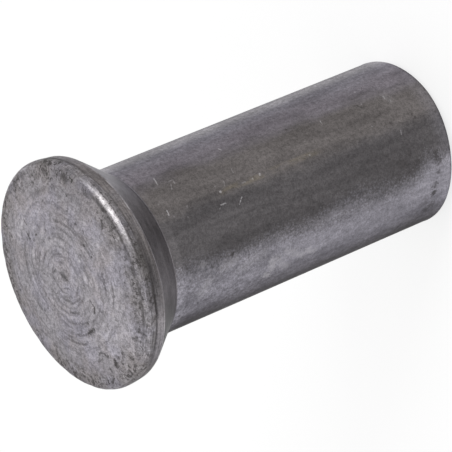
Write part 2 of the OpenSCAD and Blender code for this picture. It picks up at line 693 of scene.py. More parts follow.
def make_stroke_group():
    """One scratch, nick or spot: a mask along the line between two points, added to others."""
    given, result = start_group(
        "stroke", {"Others": 0.0, "Point": None, "Ragged": 0.0, "From": None, "To": None,
                   "Width": 0.1, "Strength": 1.0}, {"Mask": "Float"})
    along = calculate_vector("SUBTRACT", {0: given["To"], 1: given["From"]})
    offset = calculate_vector("SUBTRACT", {0: given["Point"], 1: given["From"]})
    length_squared = calculate_vector("DOT_PRODUCT", {0: along, 1: along}, "Value")
    progress = calculate_vector("DOT_PRODUCT", {0: offset, 1: along}, "Value") / (length_squared + 1e-6)
    progress = calculate("MAXIMUM", calculate("MINIMUM", progress, 1.0), 0.0)
    distance = calculate_vector("DISTANCE", {0: offset, 1: enlarge(along, progress)}, "Value")
    set_input(result["Mask"], strongest(given["Others"], mark_mask(given, distance)))


def make_arc_group():
    """One arc about the centre of the turned marks, as a mask that is added to others."""
    given, result = start_group(
        "arc", {"Others": 0.0, "Radius": 0.0, "Side": 0.0, "Ragged": 0.0, "At Radius": 1.0, "Middle": 0.0,
                "Reach": 20.0, "Width": 0.1, "Strength": 1.0}, {"Mask": "Float"})
    across = mark_mask(given, calculate("ABSOLUTE", given["Radius"] - given["At Radius"]))
    turned = calculate("WRAP", given["Side"] - given["Middle"], 180.0, -180.0)
    along = fade(calculate("ABSOLUTE", turned) - given["Reach"], -6.0, 4.0, 1.0, 0.0)
    set_input(result["Mask"], strongest(given["Others"], across * along))


def make_ring_group():
    """Uneven turned lines round a centre, wobbly and broken, as a value round 0.5, and where they run."""
    given, result = start_group(
        "turned lines", {"Point": None, "Centre": None, "Scale": 5.0},
        {"Lines": "Float", "Radius": "Float", "Side": "Float"})
    offset = calculate_vector("SUBTRACT", {0: given["Point"], 1: given["Centre"]})
    offset = stretch(offset, (1, 1, 0))
    radius, around, side = polar(offset)
    depth = (radius + vary(offset, 0.5, detail=2.0) * 1.1) * given["Scale"]
    set_input(result["Lines"], vary_round(around, 0.8, depth, detail=2.5, roughness=0.6))
    set_input(result["Radius"], radius + swing(vary(offset, 1.3, detail=2.0), 0.12))
    set_input(result["Side"], side)


# Where the dark film is worn off, with a painted reflection in the same fields, in degrees round the rivet:
# the field starts and is full, or starts to fade and is gone. Near the cut end, up to some height in
# millimetres, the front field is turned.
WEAR_AND_REFLECTION_SIDES = SimpleNamespace(front_low=(-126, -98), front_top=(-84, -62), back=(2, 26, 56, 100))
WEAR_AND_REFLECTION_END_HEIGHTS = (1.6, 3.0)
WEAR_AND_REFLECTION_END_TURN = -8.0


def make_wear_and_reflection_group():
    """How far the dark film is worn off, with a painted reflection: a grainy field on the -Y side and one on
    the +Y side.
    """
    given, result = start_group(
        "film wear and painted reflection", {"Point": None, "Side": 0.0, "Height": 0.0}, {"Front": "Float", "Back": "Float"})
    ragged = vary(given["Point"], 10.0, roughness=0.7)
    wander = vary(stretch(given["Point"], (1, 1, 0.35)), 0.6)
    side = given["Side"] + (swing(ragged, 16.0) + swing(wander, 10.0))
    turned = side + fade(given["Height"], *WEAR_AND_REFLECTION_END_HEIGHTS, WEAR_AND_REFLECTION_END_TURN, 0.0)
    front = fade(turned, *WEAR_AND_REFLECTION_SIDES.front_top, 1.0, 0.0) * fade(side, *WEAR_AND_REFLECTION_SIDES.front_low)
    set_input(result["Front"], front)
    set_input(result["Back"], between(side, *WEAR_AND_REFLECTION_SIDES.back))


# Finishes

def add_grain(point, scale):
    """The steel's grain, with its scale per millimetre."""
    return use_group("steel grain", Point=point, Scale=scale)["Grain"]


def add_pits(point, scale, amount, size):
    """A mask of small pits: their scale, the share of the cells that hold one, and their size."""
    return use_group("pits", Point=point, Scale=scale, Amount=amount, Size=size)["Pits"]


def held_grime(point):
    """The grime that the marks in the mesh hold."""
    return add_field(point.tree, "ShaderNodeAttribute", {}, "Fac", attribute_name="grime")


def fray(point):
    """What makes the outlines of strokes and arcs ragged."""
    return fade(vary(point, 9.0, roughness=0.65), 0.2, 0.8, -0.7, 0.7)


def draw_strokes(point, ragged, strokes):
    """A mask of several strokes: each is two points, a width and a strength, in millimetres."""
    mask = 0.0
    for start, end, width, strength in strokes:
        mask = use_group(
            "stroke", Others=mask, Point=point, Ragged=ragged, From=start, To=end, Width=width,
            Strength=strength)["Mask"]
    return mask


def draw_arcs(rings, ragged, arcs):
    """A mask of several arcs: each is a radius, its middle and reach in degrees, a width and a strength."""
    mask = 0.0
    for radius, middle, reach, width, strength in arcs:
        mask = use_group(
            "arc", Others=mask, Radius=rings["Radius"], Side=rings["Side"], Ragged=ragged, At_Radius=radius,
            Middle=middle, Reach=reach, Width=width, Strength=strength)["Mask"]
    return mask


def start_material(name):
    """A new material and its empty node tree."""
    material = bpy.data.materials.new(name)
    material.use_nodes = True
    material.node_tree.nodes.clear()
    return material, material.node_tree


def start_steel(name):
    """A new material, and the place of each point on the rivet, by name."""
    material, tree = start_material(name)
    coordinates = add_field(tree, "ShaderNodeTexCoord", {}, "Object")
    return material, use_group("place on rivet", Object=coordinates)


def finish_steel(colour, roughness, metallic, relief, bump_distance, edge_tint=0.6):
    """The steel shader, from what changes over its surface, and how bright it gets when seen edge on."""
    tree = colour.tree
    bump = add_node(tree, "ShaderNodeBump", {"Height": relief, "Distance": bump_distance * MM})
    shader = add_node(tree, "ShaderNodeBsdfPrincipled", {
        "Base Color": colour, "Roughness": roughness, "Metallic": metallic, "Normal": bump.outputs["Normal"],
        "Specular Tint": opaque([edge_tint] * 3)})
    add_node(tree, "ShaderNodeOutputMaterial", {"Surface": shader.outputs["BSDF"]})


# Scratches and short grooves on the face: from x, y to x, y, then width and strength
FACE_SCRATCHES = (
    (0.65, 3.0, 0.5, 2.7, 0.09, 0.9), (1.1, 3.35, 1.0, 3.1, 0.06, 0.6), (1.9, 1.0, 2.0, 0.7, 0.07, 0.4),
    (0.2, 0.2, 0.15, -0.15, 0.17, 0.8), (0.2, 0.65, -0.1, 0.8, 0.09, 0.6),
    (-0.4, -0.1, -0.2, -0.4, 0.07, 0.5), (0.05, -1.85, -0.1, -2.1, 0.07, 0.8),
    (-0.1, -2.1, -0.4, -2.15, 0.08, 0.9), (-1.8, -1.85, -1.3, -2.2, 0.1, 1.0),
    (-2.55, -2.6, -2.35, -2.65, 0.08, 0.7), (-2.35, -2.65, -2.25, -2.9, 0.08, 0.7),
    (-2.25, -2.9, -2.3, -3.15, 0.09, 0.8), (-2.95, -2.55, -2.65, -2.8, 0.1, 0.6),
    (-2.25, -3.6, -2.45, -3.7, 0.18, 1.0), (0.25, -4.8, 0.3, -5.15, 0.1, 0.8),
    (-0.35, -4.5, -0.1, -4.75, 0.1, 0.7), (4.75, 0.95, 4.85, 1.2, 0.24, 0.8),
    (4.95, -0.2, 4.85, -0.5, 0.14, 0.6), (4.4, -2.2, 4.55, -1.9, 0.14, 0.5),
    (2.85, -4.05, 3.1, -3.85, 0.14, 0.8), (4.2, 2.5, 4.3, 2.4, 0.16, 0.5),
)
# Pits and specks on the face: x, y, width and strength
FACE_SPOTS = (
    (1.0, 2.3, 0.11, 0.9), (0.6, 2.4, 0.1, 0.9), (1.0, 1.7, 0.12, 0.5), (1.5, 1.35, 0.09, 0.6),
    (1.65, 1.65, 0.09, 0.7), (2.55, -0.95, 0.1, 0.9), (2.25, -1.1, 0.07, 0.6), (2.35, -1.35, 0.07, 0.6),
    (2.3, -1.55, 0.09, 0.8), (-0.6, 1.45, 0.09, 0.9), (-2.1, 2.5, 0.09, 0.6), (0.6, -1.3, 0.08, 0.6),
    (0.3, -1.45, 0.08, 0.6), (-1.8, 0.55, 0.09, 0.6), (-2.3, 1.0, 0.09, 0.8), (-2.15, 0.7, 0.08, 0.7),
    (-0.3, -1.35, 0.1, 0.7), (-0.1, -2.55, 0.08, 0.6), (-1.25, -1.8, 0.1, 0.9), (-1.5, -1.45, 0.08, 0.6),
    (-2.3, -1.2, 0.1, 0.5), (-2.25, -3.15, 0.12, 0.9), (-1.5, -4.0, 0.15, 0.9), (-1.9, -3.8, 0.1, 0.8),
    (-2.9, -3.35, 0.12, 0.9), (1.5, -4.7, 0.14, 0.8), (-1.7, -4.8, 0.13, 0.8), (-2.25, -4.65, 0.1, 0.7),
    (-0.4, 4.2, 0.13, 0.8), (4.15, 0.75, 0.11, 0.9), (3.45, 0.5, 0.09, 0.8), (3.2, -0.2, 0.09, 0.7),
    (3.15, -0.75, 0.09, 0.6), (3.1, 0.3, 0.09, 0.6), (2.9, 2.2, 0.1, 0.5), (2.2, -3.65, 0.09, 0.7),
    (0.05, -3.5, 0.08, 0.6), (-0.6, -3.3, 0.07, 0.5), (-1.5, -3.45, 0.09, 0.6), (1.6, -4.45, 0.12, 0.7),
    (0.4, -4.85, 0.13, 0.8), (-0.25, -4.7, 0.13, 0.7), (-3.9, -2.65, 0.13, 0.8), (-3.6, -3.4, 0.13, 0.8),
    (-4.85, -0.9, 0.13, 0.7), (-4.85, -0.1, 0.12, 0.7),
)
# Arcs that stand out among the turned marks: radius, middle and reach in degrees, width and strength
FACE_ARCS = (
    (0.8, 140, 50, 0.08, 0.5), (0.95, 25, 30, 0.07, 0.4), (0.95, 210, 20, 0.08, 0.5),
    (1.25, 232, 24, 0.08, 0.7), (1.72, 216, 15, 0.09, 0.8), (2.0, 20, 18, 0.08, 0.4),
    (2.25, 212, 22, 0.08, 0.6), (2.25, 130, 16, 0.08, 0.4), (2.42, 100, 16, 0.08, 0.4),
    (2.58, 10, 18, 0.08, 0.55), (2.8, -28, 14, 0.07, 0.5), (2.8, 222, 17, 0.09, 0.7),
    (2.9, -62, 12, 0.09, 0.7), (3.03, 107, 16, 0.08, 0.5), (3.05, 192, 9, 0.08, 0.6),
    (3.25, 204, 15, 0.1, 0.8), (3.37, -73, 13, 0.08, 0.6), (3.8, 190, 15, 0.09, 0.45),
    (3.9, 45, 12, 0.09, 0.4), (1.0, 262, 16, 0.08, 0.5),
)
# Bright flecks on the face: x, y, width and strength
FACE_FLECKS = (
    (1.6, -0.8, 0.11, 0.9), (1.75, -0.55, 0.08, 0.7), (2.7, -1.0, 0.07, 0.6), (-1.1, -4.65, 0.08, 0.7),
    (-2.0, -4.35, 0.1, 0.8), (-2.7, -4.15, 0.11, 0.9), (-2.85, 1.65, 0.07, 0.7), (-2.85, 1.5, 0.06, 0.6),
    (4.1, -2.85, 0.09, 0.6), (3.9, -2.7, 0.07, 0.5),
)
# Bluish places on the face, in the same way
FACE_BLUISH = (
    (1.8, 2.5, 0.9, 0.8), (2.4, 2.3, 0.7, 0.5), (-1.95, -1.3, 1.1, 0.9), (-2.2, -0.4, 0.8, 0.8),
    (-0.4, -0.9, 0.7, 0.5), (3.6, -1.5, 0.8, 0.6), (0.9, 0.6, 0.6, 0.5),
)
# Stretches of the face, round it in degrees and out from its middle in millimetres. A finish starts, is
# full, starts to fade and is gone; where there are two numbers, it only starts or only fades. Most of them
# place painted light and shade, or the painted highlight on the worn flat and along the rim.
FACE_SIDES = SimpleNamespace(
    shade_by_flat=(-78, -46, 28, 58), low=(-84, -66, -46, -22), shaded_low_roll=(-110, -100, -92, -82),
    painted_light_low=(-140, -120, -92, -74), painted_light_top=(60, 76, 88, 104), flat_highlight=(-52, -28, -10, 12),
    rim_highlight=(-150, -120, -34, -20), clear_rim=(-112, -96), dirty_rim=(-96, -80, -14, 8),
)
FACE_RADII = SimpleNamespace(
    outer=(3.6, 5.0), shade_by_flat=(1.6, 3.0), pale=(3.0, 4.0, 4.8, 5.1), ticks=(4.5, 4.85),
    mottled=(3.6, 4.9), dirty_ring=(4.9, 5.06, 5.12, 5.18),
)


def face_marks(marks):
    """Strokes and spots in the plane of the face, from their x and y."""
    return [((*ends[:2], 0), (*ends[-2:], 0), width, strength) for *ends, width, strength in marks]


def shade_face(colours, at, place, grain, lines, bluish):
    """Colour of the clean steel of the face and of its rolled edge, with painted light and shade by side."""
    point, radius, around = place["Point"], place["Radius"], place["Around"]
    height, side = place["Height"], place["Side"]
    violet = fade(vary(shift(point, (5.1, 0, 0)), 0.8), 0.46, 0.66, 0.0, 0.7)
    warm = fade(vary(shift(point, (0, 8.3, 0)), 0.7), 0.42, 0.62)
    cloudy = vary(point, 1.4, detail=5.0, roughness=0.72)
    colour = mix_colour(warm, colours.face, colours.face_warm)
    colour = mix_colour(strongest(violet, bluish), colour, colours.face_violet)
    colour = shade_colour(
        colour, spread(grain, 0.45), spread(cloudy, 0.14), fade(lines, 0.28, 0.5, 0.72, 1.03),
        fade(lines, 0.55, 0.72, 1.0, 1.15), fade(radius, *FACE_RADII.outer, 1.0, 0.84))

    # Painted light and shade by side: darker beside the flat and on two stretches of the rolled edge, lighter
    # on two stretches of the outer face.
    shade_by_flat = between(side, *FACE_SIDES.shade_by_flat) * fade(radius, *FACE_RADII.shade_by_flat)
    low = between(side, *FACE_SIDES.low) * fade(height, at.face_edge_z, at.crease_z + 0.2)
    pale = strongest(between(side, *FACE_SIDES.painted_light_low), between(side, *FACE_SIDES.painted_light_top))
    pale = pale * between(radius, *FACE_RADII.pale)
    on_roll = fade(height, at.face_edge_z + 0.02, at.face_edge_z - 0.05)
    streaks = fade(vary_round(around, 4, height * 14.0), 0.3, 0.7, 0.72, 1.24)
    flecks = fade(vary_round(around, 16, height * 26.0, roughness=0.7), 0.34, 0.66, 0.72, 1.28)
    return shade_colour(
        colour, within(on_roll, streaks) * within(on_roll, flecks), within(low, 0.45),
        within(shade_by_flat, 0.86), within(pale, 1.12),
        within(between(side, *FACE_SIDES.shaded_low_roll) * on_roll, 0.76))


def find_worn_edge_highlight(at, place):
    """Painted highlight on the rolled edge: on the flat that use wore there, and in a thin line along the
    rim.
    """
    point, height, side = place["Point"], place["Height"], place["Side"]
    patchy = fade(vary(point, 9.0, detail=4.0, roughness=0.75), 0.39, 0.50)
    upper_roll = between(
        height, at.roll_z + 0.06, at.roll_z + 0.2, at.face_edge_z - 0.09, at.face_edge_z)
    on_flat = upper_roll * between(side, *FACE_SIDES.flat_highlight)
    rim_highlight_line = between(
        height, at.face_edge_z - 0.09, at.face_edge_z - 0.03, at.face_edge_z - 0.05, at.face_edge_z + 0.02)
    rim_highlight_side = between(side, *FACE_SIDES.rim_highlight) * fade(side, *FACE_SIDES.clear_rim, 1.0, 0.3)
    return patchy * strongest(on_flat, rim_highlight_line * rim_highlight_side * 0.55)


def find_rim_dirt(at, place):
    """Dirt on the outer face: mottled fields, short ticks at the rim and a broken ring inside it."""
    point, radius, height, side = place["Point"], place["Radius"], place["Height"], place["Side"]
    ticks = fade(vary_round(place["Around"], 36, radius * 5.5, roughness=0.6), 0.54, 0.59)
    near_rim = fade(radius, *FACE_RADII.ticks) * fade(height, at.face_edge_z - 0.04, at.face_edge_z)
    tick_place = near_rim * fade(vary(point, 0.9, detail=2.0), 0.38, 0.54)
    rim = fade(radius, *FACE_RADII.mottled)
    mottle = fade(vary(point, 4.5, detail=5.0, roughness=0.75), 0.52, 0.59)
    mottle_place = rim * fade(vary(shift(point, (0, 0, 4.4)), 0.55), 0.42, 0.58)
    broken_ring = between(radius, *FACE_RADII.dirty_ring) * between(side, *FACE_SIDES.dirty_rim)
    broken_ring = broken_ring * fade(vary(point, 6.0), 0.35, 0.55, 0.2, 1.0)
    dirt = strongest(
        broken_ring * 0.65, rim * mottle * 0.42, mottle_place * mottle * 0.85, ticks * tick_place * 0.85)
    return dirt, mottle_place


def make_face_steel(colours, at):
    """Struck face and rolled edge: turned marks, fine grain, pits, a mottled rim, painted light and shade,
    and a painted highlight on the worn flat.
    """
    material, place = start_steel("struck face steel")
    point = place["Point"]
    flat = stretch(point, (1, 1, 0))
    grain = add_grain(point, 12.0)
    rings = use_group("turned lines", Point=point, Centre=RING_CENTRE, Scale=4.2)
    fine_pits = add_pits(point, 2.6, 0.35, 0.10)
    specks = add_pits(point, 5.5, 0.3, 0.14)
    flecks = add_pits(shift(point, (3.7, 1.3, 0)), 4.5, 0.25, 0.12)
    ragged = fray(point)
    marks = draw_strokes(flat, ragged, face_marks(FACE_SCRATCHES + FACE_SPOTS))
    arcs = draw_arcs(rings, ragged, FACE_ARCS)
    bright_marks = draw_strokes(flat, ragged, face_marks(FACE_FLECKS))
    bluish = draw_strokes(flat, ragged, face_marks(FACE_BLUISH))

    colour = shade_face(colours, at, place, grain, rings["Lines"], bluish)
    worn_highlight = find_worn_edge_highlight(at, place)
    # Flecks and bright marks are real; the worn flat and the rim line add a painted highlight.
    bright = strongest(flecks * 0.4, bright_marks * 0.6, worn_highlight * 0.5)
    colour = mix_colour(bright, colour, colours.bright)
    rim_dirt, mottle_place = find_rim_dirt(at, place)
    dirt = strongest(
        rim_dirt, fine_pits * 0.7, specks * 0.5, held_grime(point) * 0.8, marks * 0.9, arcs * 0.75)
    dirt = dirt * within(worn_highlight, 0.15)
    colour = mix_colour(mottle_place * 0.15, colour, colours.tan)
    colour = mix_colour(dirt, colour, colours.grime)
    roughness = fade(grain, 0.3, 0.7, 0.38, 0.5) + dirt * 0.2 - worn_highlight * 0.10
    relief = calculate("MULTIPLY_ADD", rings["Lines"], 0.5, grain) - fine_pits * 0.8
    finish_steel(colour, roughness, fade(dirt, 0.0, 1.0, 1.0, 0.55), relief, 0.012)
    return material


# The same stretches for the land and for the countersink, most of them for painted light and shade
EDGE_SIDES = SimpleNamespace(
    low=(-84, -66, -44, -20), painted_light_low=(-114, -100, -78, -62), painted_light_top=(0, 18, 34, 48),
)
SINK_SIDES = SimpleNamespace(
    seen=(-165, -136, 60, 120), neck=(-60, -44, -12, 2), light=(-28, 1), low=(-84, -64), dark=(-94, -62),
    shaded=(-52, -36),
)


def make_edge_steel(colours, at):
    """Land of the head: pressed smooth, with lines along it, painted light and shade, a painted highlight
    along its foot, and a dark crease.
    """
    material, place = start_steel("pressed edge steel")
    point, height, side = place["Point"], place["Height"], place["Side"]
    grain = add_grain(point, 13.0)
    long_lines = vary_round(place["Around"], 3, height * 9.0, roughness=0.65)
    pits = add_pits(point, 3.4, 0.25, 0.12)
    worn = use_group("film wear and painted reflection", Point=point, Side=side, Height=height)
    patchy = fade(vary(point, 1.6, detail=4.0, roughness=0.7), 0.36, 0.6)
    cloudy = vary(point, 0.9, detail=4.0, roughness=0.6)

    colour = mix_colour(fade(cloudy, 0.35, 0.65), colours.edge, colours.edge_olive)
    # The worn fields hold wear and a painted reflection.
    colour = mix_colour(strongest(worn["Front"], worn["Back"]) * 0.3, colour, colours.worn)
    # Painted shade on the low side, and painted light on two other stretches.
    low_side = between(side, *EDGE_SIDES.low)
    shaded = low_side * fade(height, at.land_foot_z + 0.1, at.crease_z - 0.1, 0.3, 1.0)
    pale = strongest(between(side, *EDGE_SIDES.painted_light_low), between(side, *EDGE_SIDES.painted_light_top))
    pale = pale * fade(height, at.crease_z - 0.06, at.crease_z - 0.2)
    colour = shade_colour(
        colour, spread(grain, 0.32), spread(long_lines, 0.36), spread(cloudy, 0.12),
        within(shaded, 0.62), within(pale, 1.38))
    # Painted highlight along the foot of the land, left out on the low side.
    foot = patchy * fade(height, at.land_foot_z + 0.1, at.land_foot_z + 0.03)
    colour = mix_colour(foot * mix_value(low_side, 0.5, 0.0), colour, colours.bright)
    broken = fade(vary(point, 5.0, detail=4.0, roughness=0.75), 0.40, 0.56, 0.35, 1.15)
    dirt = strongest(pits * 0.55, held_grime(point) * broken)
    colour = mix_colour(dirt, colour, colours.grime)
    roughness = fade(long_lines, 0.3, 0.7, 0.28, 0.40) + dirt * 0.25
    finish_steel(
        colour, roughness, fade(dirt, 0.0, 1.0, 1.0, 0.5), grain - pits * 0.6, 0.012, edge_tint=0.5)
    return material


def make_sink_steel(colours, at):
    """Countersink: smooth and dark, with faint lines round it from the die, and painted light and shade by
    side and height.
    """
    material, place = start_steel("die smoothed steel")
    point, height, side = place["Point"], place["Height"], place["Side"]
    grain = add_grain(point, 12.0)
    lines = vary(stretch(point, (0.15, 0.15, 2.2)), 3.0)
    cloudy = fade(vary(point, 0.8), 0.35, 0.65, 0.9, 1.1)
    # Painted light and shade on the front half, an even level on the back half: lighter towards side 0 and
    # near the neck on the low side, darker higher up on the low side and at the neck elsewhere.
    seen = between(side, *SINK_SIDES.seen)
    light = mix_value(seen, 0.4, fade(side, *SINK_SIDES.light) * 0.66)
    low_side = fade(side, *SINK_SIDES.low, 1.0, 0.0)
    light_and_shade_downward = fade(height, at.neck_z + 0.2, at.neck_z + 1.0, 1.5, 0.62)
    neck = between(side, *SINK_SIDES.neck) * fade(height, at.neck_z + 0.25, at.neck_z + 0.05)
    light_and_shade_by_side = fade(side, *SINK_SIDES.dark, 0.5, 1.45) * fade(side, *SINK_SIDES.shaded, 1.0, 0.84)
    light_and_shade_by_side = light_and_shade_by_side * within(low_side, light_and_shade_downward) * within(neck, 0.7)
    colour = shade_colour(
        mix_colour(light, colours.sink, colours.worn), cloudy, spread(grain, 0.26),
        fade(lines, 0.35, 0.65, 0.95, 1.05), mix_value(seen, 1.1, light_and_shade_by_side))
    finish_steel(colour, fade(lines, 0.3, 0.7, 0.33, 0.38), 1.0, grain, 0.010)
    return material


# Nicks on the shank: from side and height to side and height, then width and strength
SHANK_NICKS = (
    (-2, 15.5, -8, 15.6, 0.04, 0.8), (-9, 15.0, -9, 14.8, 0.04, 0.4), (-9, 14.8, -12, 14.85, 0.04, 0.5),
    (-28, 16.05, -31, 16.1, 0.045, 0.9), (-12, 15.05, -16, 15.2, 0.03, 0.4),
    (-29, 16.35, -30, 16.35, 0.04, 0.4), (-30, 15.0, -31, 15.05, 0.04, 0.3),
    (1, 11.65, -1, 11.6, 0.045, 0.8), (-18, 11.9, -21, 11.95, 0.035, 0.4),
    (-38, 12.2, -42, 12.5, 0.03, 0.9), (-38, 13.15, -38, 13.4, 0.045, 0.7),
    (-38, 13.4, -40, 13.55, 0.03, 0.4), (-24, 12.65, -27, 12.75, 0.035, 0.4),
    (-30, 11.85, -30, 11.7, 0.045, 0.4), (-10, 6.25, -13, 6.3, 0.04, 0.7),
    (-11, 2.45, -13, 2.5, 0.04, 0.6), (-38, 2.75, -41, 2.8, 0.035, 0.5),
    (150, 12.0, 147, 11.6, 0.04, 0.5), (95, 8.3, 93, 8.15, 0.04, 0.5), (-150, 6.0, -152, 5.7, 0.04, 0.5),
    (178, 14.2, 176, 14.0, 0.04, 0.5),
)
# Bright pecks on the shank: side, height, width and strength
SHANK_PECKS = (
    (-29, 10.8, 0.07, 1.0), (-30, 13.1, 0.07, 0.9), (-30, 7.9, 0.07, 0.8), (-30, 11.25, 0.06, 0.6),
    (-22, 16.25, 0.06, 0.3), (-33, 15.9, 0.05, 0.4), (-37, 15.25, 0.05, 0.3), (-25, 13.2, 0.05, 0.35),
    (-20, 7.7, 0.05, 0.4), (-16, 2.3, 0.05, 0.4), (2, 3.45, 0.07, 0.5), (-10, 3.75, 0.06, 0.4),
    (-28, 4.05, 0.06, 0.4), (-10, 1.5, 0.05, 0.3), (-21, 5.75, 0.05, 0.3),
)
# Dark specks and blotches on the shank, in the same way
SHANK_SPOTS = (
    (7, 9.0, 0.09, 0.7), (9, 10.6, 0.07, 0.5), (-6, 8.05, 0.08, 0.7), (-10, 4.0, 0.1, 0.6),
    (-12, 3.9, 0.08, 0.7), (-8, 3.75, 0.07, 0.4), (-26, 3.8, 0.08, 0.5), (2, 4.1, 0.07, 0.3),
    (-31, 3.05, 0.09, 0.5), (-29, 3.55, 0.07, 0.4), (-33, 2.55, 0.08, 0.4), (-41, 6.05, 0.07, 0.4),
    (-47, 6.05, 0.07, 0.5), (-45, 6.2, 0.06, 0.4), (-30, 1.9, 0.12, 0.6), (-31, 1.75, 0.1, 0.6),
    (-34, 1.65, 0.1, 0.6), (-35, 0.45, 0.1, 0.6), (-63, 1.3, 0.3, 0.7), (-67, 1.15, 0.26, 0.7),
    (-62, 2.3, 0.3, 0.45), (-65, 2.5, 0.25, 0.45), (-54, 2.75, 0.16, 0.4), (-59, 3.3, 0.4, 0.35),
    (-67, 2.9, 0.3, 0.4), (-67, 3.6, 0.2, 0.4), (-54, 3.9, 0.4, 0.25), (-75, 1.25, 0.16, 0.6),
    (-84, 1.45, 0.26, 0.7), (-90, 1.5, 0.22, 0.9), (-101, 1.5, 0.32, 0.6), (-104, 1.7, 0.3, 0.6),
    (-95, 2.0, 0.35, 0.4), (-71, 13.55, 0.11, 0.9), (-71, 13.95, 0.08, 0.5), (-81, 14.1, 0.08, 0.5),
    (-84, 14.65, 0.08, 0.5), (-98, 15.45, 0.11, 0.6), (-101, 13.2, 0.1, 0.5), (-103, 16.5, 0.12, 0.9),
    (-82, 16.1, 0.08, 0.5), (-74, 14.75, 0.08, 0.5), (-110, 13.75, 0.09, 0.5), (-107, 13.3, 0.09, 0.5),
    (-98, 15.0, 0.08, 0.5), (-63, 6.8, 0.1, 0.4), (160, 5.0, 0.12, 0.5), (110, 12.0, 0.1, 0.5),
    (-165, 10.0, 0.12, 0.5),
)
# Pale smears on the shank: from side and height to side and height, then width and strength
SHANK_SMEARS = (
    (-99, 11.6, -101, 11.3, 0.2, 1.0), (-96, 11.2, -89, 11.3, 0.28, 0.9),
    (-88, 11.2, -91, 10.8, 0.3, 0.7), (-93, 10.8, -100, 10.3, 0.28, 0.6), (-86, 10.4, -95, 9.4, 0.3, 0.6),
    (-92, 9.2, -96, 8.75, 0.24, 0.7), (-78, 14.2, -76, 13.4, 0.3, 0.4), (-90, 15.3, -84, 15.0, 0.35, 0.5),
    (-69, 15.35, -70, 15.2, 0.2, 0.4), (-84, 13.2, -80, 11.8, 0.35, 0.35),
    (-12, 2.4, -16, 2.3, 0.25, 0.3),
)
# The same stretches for the shank, round it and up it, and the side on which the tan streak runs; several
# of them place painted light, shade and highlights
SHANK_SIDES = SimpleNamespace(
    olive=(-39, -27, -14, 4), violet=(-14, 4), unseen=(110, 170), top_highlight=(17, 31, 33, 46),
    top_edge_shade=(36, 44, 56, 80), lit_top_end=(2, 16, 60, 120), grip=(-78, -66, -52, -30),
)
SHANK_HEIGHTS = SimpleNamespace(
    near_end=(0.4, 1.3), lit_top_end=(1.0, 2.8), tan=(6.9, 8.0, 13.0, 13.4), coarse=(9.0, 14.0),
    shade_under_grip=(13.2, 15.0),
)
TAN_SIDE = -30.0


def shank_marks(marks, radius):
    """Strokes and spots on the shank, from their sides in degrees and their heights."""
    def place(side, height):
        angle = math.radians(side)
        return radius * math.cos(angle), radius * math.sin(angle), height

    return [(place(*ends[:2]), place(*ends[-2:]), width, strength) for *ends, width, strength in marks]


